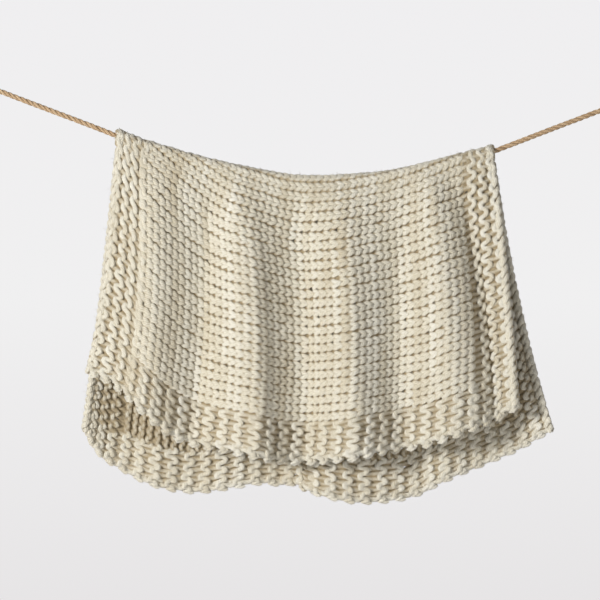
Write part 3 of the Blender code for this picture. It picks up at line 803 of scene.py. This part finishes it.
def course_line(j, rng):
    """One course from the front hem to the back hem, as values along its yarn.

    They are its course, the stitches from the hem, depth in metres, thickness, stitches from the wale's
    middle, how much darker its colour is painted as shade, and 1 where the knitting has wales.
    """
    s = LOOP_STOPS
    side = (j < SIDE_BORDER_LEFT) | (j >= COURSES - SIDE_BORDER_RIGHT)
    start, size = stitches_of_course(side)
    count = len(start)
    i = start[:, None]
    bordered = side | (i < HEM_BORDER) | (i >= STITCHES - HEM_BORDER)

    # one loop: s = 0 at the link to the stitch before, 0.25 and 0.75 in its legs, 0.5 at its head
    aside = s - 0.5 + np.where(bordered, GARTER_BULGE, LOOP_BULGE) * np.sin(4 * math.pi * s)
    linked = np.clip(np.cos(2 * math.pi * s), 0, 1) ** 3
    close = np.where(bordered, 1.0, LEG_CLOSENESS)
    aside = aside * (close + (1 - close) * linked)
    from_hem = i + size[:, None] * (0.5 + aside)
    height = np.where(bordered, SIDE_LOOP_HEIGHT if side else HEM_LOOP_HEIGHT, LOOP_HEIGHT)
    swing = np.cos(2 * math.pi * s)
    swing = np.where(bordered, np.sign(swing) * np.abs(swing) ** GARTER_SQUARE, swing)
    course = j + 0.5 + height * swing - np.where(bordered, GARTER_TILT, 0.0) * np.sin(4 * math.pi * s)

    # depth eases from corner to corner: link, leg, head, leg, link
    knit = np.where(purl_here(np.full(count, j), start), -1.0, 1.0)
    later = np.where(purl_here(np.full(count, j - 1), start), -1.0, 1.0)
    before = np.concatenate([[knit[0]], knit[:-1]])
    after = np.concatenate([knit[1:], [knit[-1]]])
    leg = knit * np.where(bordered[:, 0], 0.0, 1.0)
    corner = np.stack([-(knit + before) / 2, leg, -later, leg, -(knit + after) / 2], -1)
    k = (s * 4).astype(int)
    f = (1 - np.cos(math.pi * (s * 4 - k))) / 2
    depth = corner[:, k] * (1 - f) + corner[:, k + 1] * f
    garter = np.sign(depth) * np.abs(depth) ** GARTER_FLATNESS * DEPTH_GARTER
    wale = WALE_ROUND * np.clip(np.abs(aside) * 2, 0, 1) ** 2 * (1 - linked)
    depth = np.where(bordered, garter, depth * DEPTH_FLAP - wale)

    # uneven hand knitting
    in_leg = np.sin(2 * math.pi * s) ** 2
    from_head = np.sin(math.pi * s) ** 2
    from_hem = from_hem + rng.normal(size=(count, 1)) * UNEVEN_STITCH * in_leg
    course = course + rng.normal(size=(count, 1)) * UNEVEN_COURSE * from_head
    depth = depth + rng.normal(size=(count, 1)) * UNEVEN_DEPTH * from_head

    # a garter bump is a fat bead at a loop's head or link
    in_bump = np.abs(np.cos(2 * math.pi * s)) ** BUMP_SHARPNESS
    course = course + np.where(bordered, UNEVEN_BUMP * rng.normal(size=(count, 1)) * in_bump, 0.0)
    bump = SIDE_BUMP if side else HEM_BUMP
    beads = GARTER_THIN + (bump - GARTER_THIN) * in_bump
    swell = np.where(bordered, beads, LINK_THICKNESS + LEG_THICKENING * in_leg)
    uneven = np.where(bordered, UNEVEN_GARTER_THICKNESS, UNEVEN_THICKNESS)
    swell = swell + uneven * rng.normal(size=(count, 1))
    # painted shade: the wool between garter bumps is coloured darker
    sink = np.where(bordered, LEG_SHADE_SINK * (1 - in_bump), 0.0)
    airy = (i > STITCHES - OPEN_REACH) & (i < STITCHES - HEM_BORDER) & (1 < j < COURSES - 2)
    swell = swell * np.where(airy, OPEN_KNIT, 1.0)
    # painted shadow: the open rows above the back hem are coloured darker, as in the front flap's shadow
    sink = sink + np.where(airy, OPEN_SHADOW_SINK, 0.0)
    aside = np.where(bordered, 0.0, aside * (1 - linked))
    has_wales = np.where(bordered, 0.0, 1.0)
    values = np.broadcast_arrays(course, from_hem, depth, swell, aside, sink, has_wales)
    values = [value.ravel() for value in values]

    # the yarn turns into the next course at one of the hems
    none = np.zeros(len(HEM_TURN_COURSES))
    if j % 2 == 0:
        turn = [j + HEM_TURN_COURSES, FRONT_TURN, none, none + 1, none, none, none]
        values = [np.concatenate([t, v]) for t, v in zip(turn, values)]
    else:
        turn = [j + HEM_TURN_COURSES[::-1], STITCHES + BACK_TURN, none, none + 1, none, none, none]
        values = [np.concatenate([v, t]) for t, v in zip(turn, values)]
    course, from_hem, depth, swell, aside, sink, has_wales = values

    # the hems draw in between the ridges
    drawn = HEM_SCALLOP * (1 + np.cos(math.pi * course)) / 2
    to_front = np.clip(1 - from_hem / HEM_SCALLOP_REACH, 0, 1)
    to_back = np.clip(1 - (STITCHES - from_hem) / HEM_SCALLOP_REACH, 0, 1)
    return course, from_hem + drawn * (to_front - to_back), depth, swell, aside, sink, has_wales


def twisted_edge(course, strand, rng):
    """One of the two strands that twist round each other along a side edge."""
    from_hem = np.arange(0.0, STITCHES + 0.01, 0.2)
    stitches = np.arange(STITCHES + 1)
    sway = np.interp(from_hem, stitches, rng.normal(size=STITCHES + 1))
    angle = math.pi * (from_hem * EDGE_TWIST + strand) + 0.25 * sway
    fat = EDGE_THICKNESS + 0.07 * np.interp(from_hem, stitches, rng.normal(size=STITCHES + 1))
    aside = EDGE_THROW * np.cos(angle)
    out = EDGE_THROW * np.sin(angle) * 1.1
    # where the cloth is pressed on the rope, the edge draws in and lies lower
    inward = math.copysign(0.45, COURSES / 2 - course)
    _, _, pressed = on_cloth(course, from_hem, 0.0)
    middle, above, _ = on_cloth(course + inward * pressed, from_hem, -0.8 * MM * pressed)
    down = np.gradient(middle, axis=0)
    down /= np.linalg.norm(down, axis=1)[:, None]
    across = np.cross(above, down)
    throw = across * aside[:, None] + above * (out * (1 - 0.6 * pressed))[:, None]
    away = throw / np.linalg.norm(throw, axis=1)[:, None]
    # painted shade: the sides of the two strands that face each other are coloured darker
    lie = (away, np.zeros_like(away), EDGE_THROW, 0.0, 0.0)
    return middle + throw, fat * (1 - 0.3 * pressed), lie


def row_strand(j, rng):
    """A course as a strand, and the places on it where fibres may stand, with their way out and share."""
    course, from_hem, depth, swell, aside, sink, has_wales = course_line(j, rng)
    knots = np.arange(0, len(depth), 40)
    tone = UNEVEN_TONE * rng.normal()
    tone = tone + UNEVEN_TONE * np.interp(np.arange(len(depth)), knots, rng.normal(size=len(knots)))
    inner = np.clip(course, 0.25, COURSES - 0.25)
    points, outward, pressed = on_cloth(inner, from_hem, depth)
    inside = (from_hem > 0.9) & (from_hem < STITCHES - 0.9)
    down = on_cloth(inner, from_hem + 0.4, 0.0)[0] - on_cloth(inner, from_hem - 0.4, 0.0)[0]
    stitch_length = np.linalg.norm(down, axis=1) / 0.8
    down = down * (has_wales * inside / (0.8 * stitch_length ** 2))[:, None]
    height = np.where(inside, depth, IN_THE_OPEN)
    lie = (outward * inside[:, None], down, height, aside * inside, sink * inside)
    spots = [(points[::3], outward[::3], 1.0)]
    for end in (from_hem < 1, from_hem > STITCHES - 1, pressed > 0.6):
        spots.append((points[end], outward[end], 2.0))
    return (points, swell * (1 - THIN_OVER_ROPE * pressed), tone, lie), spots


def build_yarn(tree, material):
    rng = np.random.default_rng(5)
    pieces, spots = [], []
    for number, first in enumerate(range(0, COURSES, ROWS_A_PIECE)):
        lines = []
        for j in range(first, min(first + ROWS_A_PIECE, COURSES)):
            line, on_line = row_strand(j, rng)
            lines.append(line)
            spots.extend(on_line)
        name = "wool_rows_%d" % (number + 1)
        pieces.append(strand_piece(name, lines, YARN_DIAMETER, YARN_SIDES, material, tree))
    edges = []
    for course in (EDGE_COURSE, COURSES - EDGE_COURSE):
        for strand in (0, 1):
            line, fat, lie = twisted_edge(course, strand, rng)
            edges.append((line, fat, 0.02, lie))
            spots.append((line, lie[0], 6.0))
    pieces.append(strand_piece("wool_side_edges", edges, YARN_DIAMETER, EDGE_SIDES, material, tree))
    return pieces, spots


def open_between_stitches(trees, points):
    """True where no yarn is in reach in front of or behind a point, seen straight from the front."""
    found = []
    for point in points.tolist():
        start = Vector((point[0], point[1] - GAP_REACH, point[2]))
        found.append(all(tree.ray_cast(start, Vector((0, 1, 0)), 2 * GAP_REACH)[0] is None for tree in trees))
    return np.array(found)


def search_trees(rows):
    """The meshes of ROWS, made ready for casting rays at them."""
    trees = []
    for piece in rows:
        mesh = piece.data
        corners = np.empty(len(mesh.vertices) * 3, "f")
        mesh.vertices.foreach_get("co", corners)
        faces = [tuple(face.vertices) for face in mesh.polygons]
        trees.append(BVHTree.FromPolygons(corners.reshape(-1, 3).tolist(), faces))
    return trees


def build_fibres(spots, tree, material):
    """Loose ends of fibre that stand off the wool.

    SPOTS are points in the yarn with their way out of the cloth and how often a fibre stands there.
    """
    rng = np.random.default_rng(21)
    place = np.concatenate([spot[0] for spot in spots])
    outward = np.concatenate([spot[1] for spot in spots])
    chance = np.concatenate([np.full(len(spot[0]), spot[2]) for spot in spots])
    along = np.array([0.0, 0.4, 0.75, 1.0])
    curl = np.array([0, 0.15, 0.5, 1.0]) ** 2 * 3.0 * MM
    thickness = np.array([1.0, 0.9, 0.7, 0.35])
    lines = []
    for k in rng.choice(len(place), FIBRES, replace=False, p=chance / chance.sum()):
        away = rng.normal(size=3) * 0.75 + outward[k] * rng.choice([1.0, -0.6])
        away /= np.linalg.norm(away)
        bend = rng.normal(size=3) * 0.45
        reach = YARN_DIAMETER * (0.42 + rng.uniform(0.10, 0.55) * along)
        line = place[k] + away * reach[:, None] + bend * curl[:, None]
        lines.append((line, thickness, FIBRE_TONE, None))
    return strand_piece("loose_fibres", lines, FIBRE_DIAMETER, FIBRE_SIDES, material, tree)


def build_ground(material, rows):
    """A thin sheet on the same folds, behind the loops, coloured as the shade seen between the stitches, with
    small gaps where light comes through.
    """
    across, along = COURSES * 2, STITCHES * 2
    course = np.linspace(GROUND_SIDE, COURSES - GROUND_SIDE, across + 1)[:, None] * np.ones(along + 1)
    from_hem = np.ones((across + 1, 1)) * np.linspace(GROUND_HEM, STITCHES - GROUND_HEM, along + 1)
    points = on_cloth(course, from_hem, np.zeros_like(course))[0]
    corners = (points[1:, 1:], points[:-1, 1:], points[1:, :-1], points[:-1, :-1])
    middle = sum(corners) / 4

    # a gap where no yarn stands in front of or behind one of the places tried
    rng = np.random.default_rng(3)
    chance = np.full((across, along), GAP_CHANCE)
    first, last = -2 * OPEN_REACH, 1 - 2 * HEM_BORDER
    chance[:, first:last] = OPEN_GAP_CHANCE
    tried = rng.random((across, along)) < chance
    tried[[0, -1], :] = False
    tried[:, [0, -1]] = False
    gap = np.zeros((across, along), bool)
    trees = search_trees(rows)
    for corner in corners:
        gap[tried] |= open_between_stitches(trees, (middle[tried] + corner[tried]) / 2)

    # the open rows above the back hem let light through once in every stitch
    open_rows = gap[2:-2:2, first:last:2]
    open_rows[:] = rng.random(open_rows.shape) < OPEN_GAP_SHARE
    faces = []
    for a in range(across):
        for b in range(along):
            if not gap[a, b]:
                corner = a * (along + 1) + b
                faces.append((corner, corner + 1, corner + along + 2, corner + along + 1))
    mesh = bpy.data.meshes.new("wool_ground")
    mesh.from_pydata(points.reshape(-1, 3).tolist(), [], faces)
    mesh.materials.append(material)
    mesh.shade_smooth()
    ground = bpy.data.objects.new("wool_ground", mesh)
    bpy.context.scene.collection.objects.link(ground)
    thick = ground.modifiers.new("thickness", "SOLIDIFY")
    thick.thickness = GROUND_THICKNESS
    thick.offset = 0.0
    return ground


def build_floor():
    mesh = bpy.data.meshes.new("floor")
    turns = np.linspace(0, 2 * math.pi, FLOOR_SIDES, endpoint=False)
    ring = [(FLOOR_X + FLOOR_RADIUS * math.cos(a), FLOOR_RADIUS * math.sin(a), FLOOR_Z) for a in turns]
    mesh.from_pydata(ring, [], [list(range(FLOOR_SIDES))])
    floor = bpy.data.objects.new("floor", mesh)
    bpy.context.scene.collection.objects.link(floor)
    paper = bpy.data.materials.new("pale paper")
    paper.use_nodes = True
    shader = paper.node_tree.nodes["Principled BSDF"]
    shader.inputs["Base Color"].default_value = (FLOOR_GREY, FLOOR_GREY, FLOOR_GREY, 1)
    shader.inputs["Roughness"].default_value = 0.9
    mesh.materials.append(paper)


def build_backdrop():
    """A pale backdrop that the camera sees bright and the blanket is lit by only a little."""
    world = bpy.data.worlds.new("pale studio")
    bpy.context.scene.world = world
    world.use_nodes = True
    tree = world.node_tree
    back = tree.nodes["Background"]
    place = add_node(tree, "ShaderNodeTexCoord")
    split = add_node(tree, "ShaderNodeSeparateXYZ", {0: (place, "Generated")})
    rise = remap(tree, (split, "Z"), -BACKDROP_SPAN, BACKDROP_SPAN, 0.0, 1.0)
    shade = add_node(tree, "ShaderNodeValToRGB", {0: rise})
    shade.color_ramp.elements[0].color = BACKDROP_LOW
    shade.color_ramp.elements[1].color = BACKDROP_HIGH
    shade.color_ramp.elements.new(0.5).color = BACKDROP_MIDDLE
    seen = add_node(tree, "ShaderNodeLightPath")
    strength, output = remap(tree, (seen, "Is Camera Ray"), 0.0, 1.0, AMBIENT, 1.0)
    tree.links.new(shade.outputs["Color"], back.inputs["Color"])
    tree.links.new(strength.outputs[output], back.inputs["Strength"])
    bpy.context.scene.view_settings.view_transform = "Standard"


def add_light(name, place, size, power):
    light = bpy.data.lights.new(name, "AREA")
    light.shape = "DISK"
    light.size = size
    light.energy = power
    lamp = bpy.data.objects.new(name, light)
    bpy.context.scene.collection.objects.link(lamp)
    lamp.location = place
    lamp.rotation_euler = (Vector(LIGHT_AIM) - Vector(place)).to_track_quat("-Z", "Y").to_euler()


def build_camera():
    lens = bpy.data.cameras.new("camera")
    lens.sensor_width = SENSOR_WIDTH
    lens.lens = SENSOR_WIDTH * -CAMERA_PLACE[1] / VIEW_WIDTH
    camera = bpy.data.objects.new("camera", lens)
    bpy.context.scene.collection.objects.link(camera)
    camera.location = CAMERA_PLACE
    camera.rotation_euler = (math.pi / 2, 0, 0)
    bpy.context.scene.camera = camera


def main():
    build_camera()
    build_floor()
    build_backdrop()
    for name, place, size, power in LIGHTS:
        add_light(name, place, size, power)
    strand = round_strand_tree()
    fibres = fibre_tone_group()
    wool = strand_material("cream wool", fibres, **WOOL)
    hemp = strand_material("rope fibre", fibres, **HEMP)
    twine = strand_material("whipping twine", fibres, **TWINE)
    shade = ground_material("wool in shadow", GROUND_SHADE_DARK, GROUND_SHADE_LIGHT)

    rope, path, length = build_rope(strand, hemp)
    whippings = [
        build_whipping("twine_left", 0, strand, twine),
        build_whipping("twine_right", -1, strand, twine),
    ]
    rows, spots = build_yarn(strand, wool)
    ground = build_ground(shade, rows)
    rows.append(build_fibres(spots, strand, wool))

    slots = [(rope, "rope fibre"), (ground, "cream wool")]
    slots += [(piece, "whipping twine") for piece in whippings]
    slots += [(piece, "cream wool") for piece in rows]
    for piece, slot in slots:
        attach(piece, "root")
    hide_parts("blanket")
    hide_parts("rope")
    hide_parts("whipping_left")
    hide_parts("whipping_right")


main()
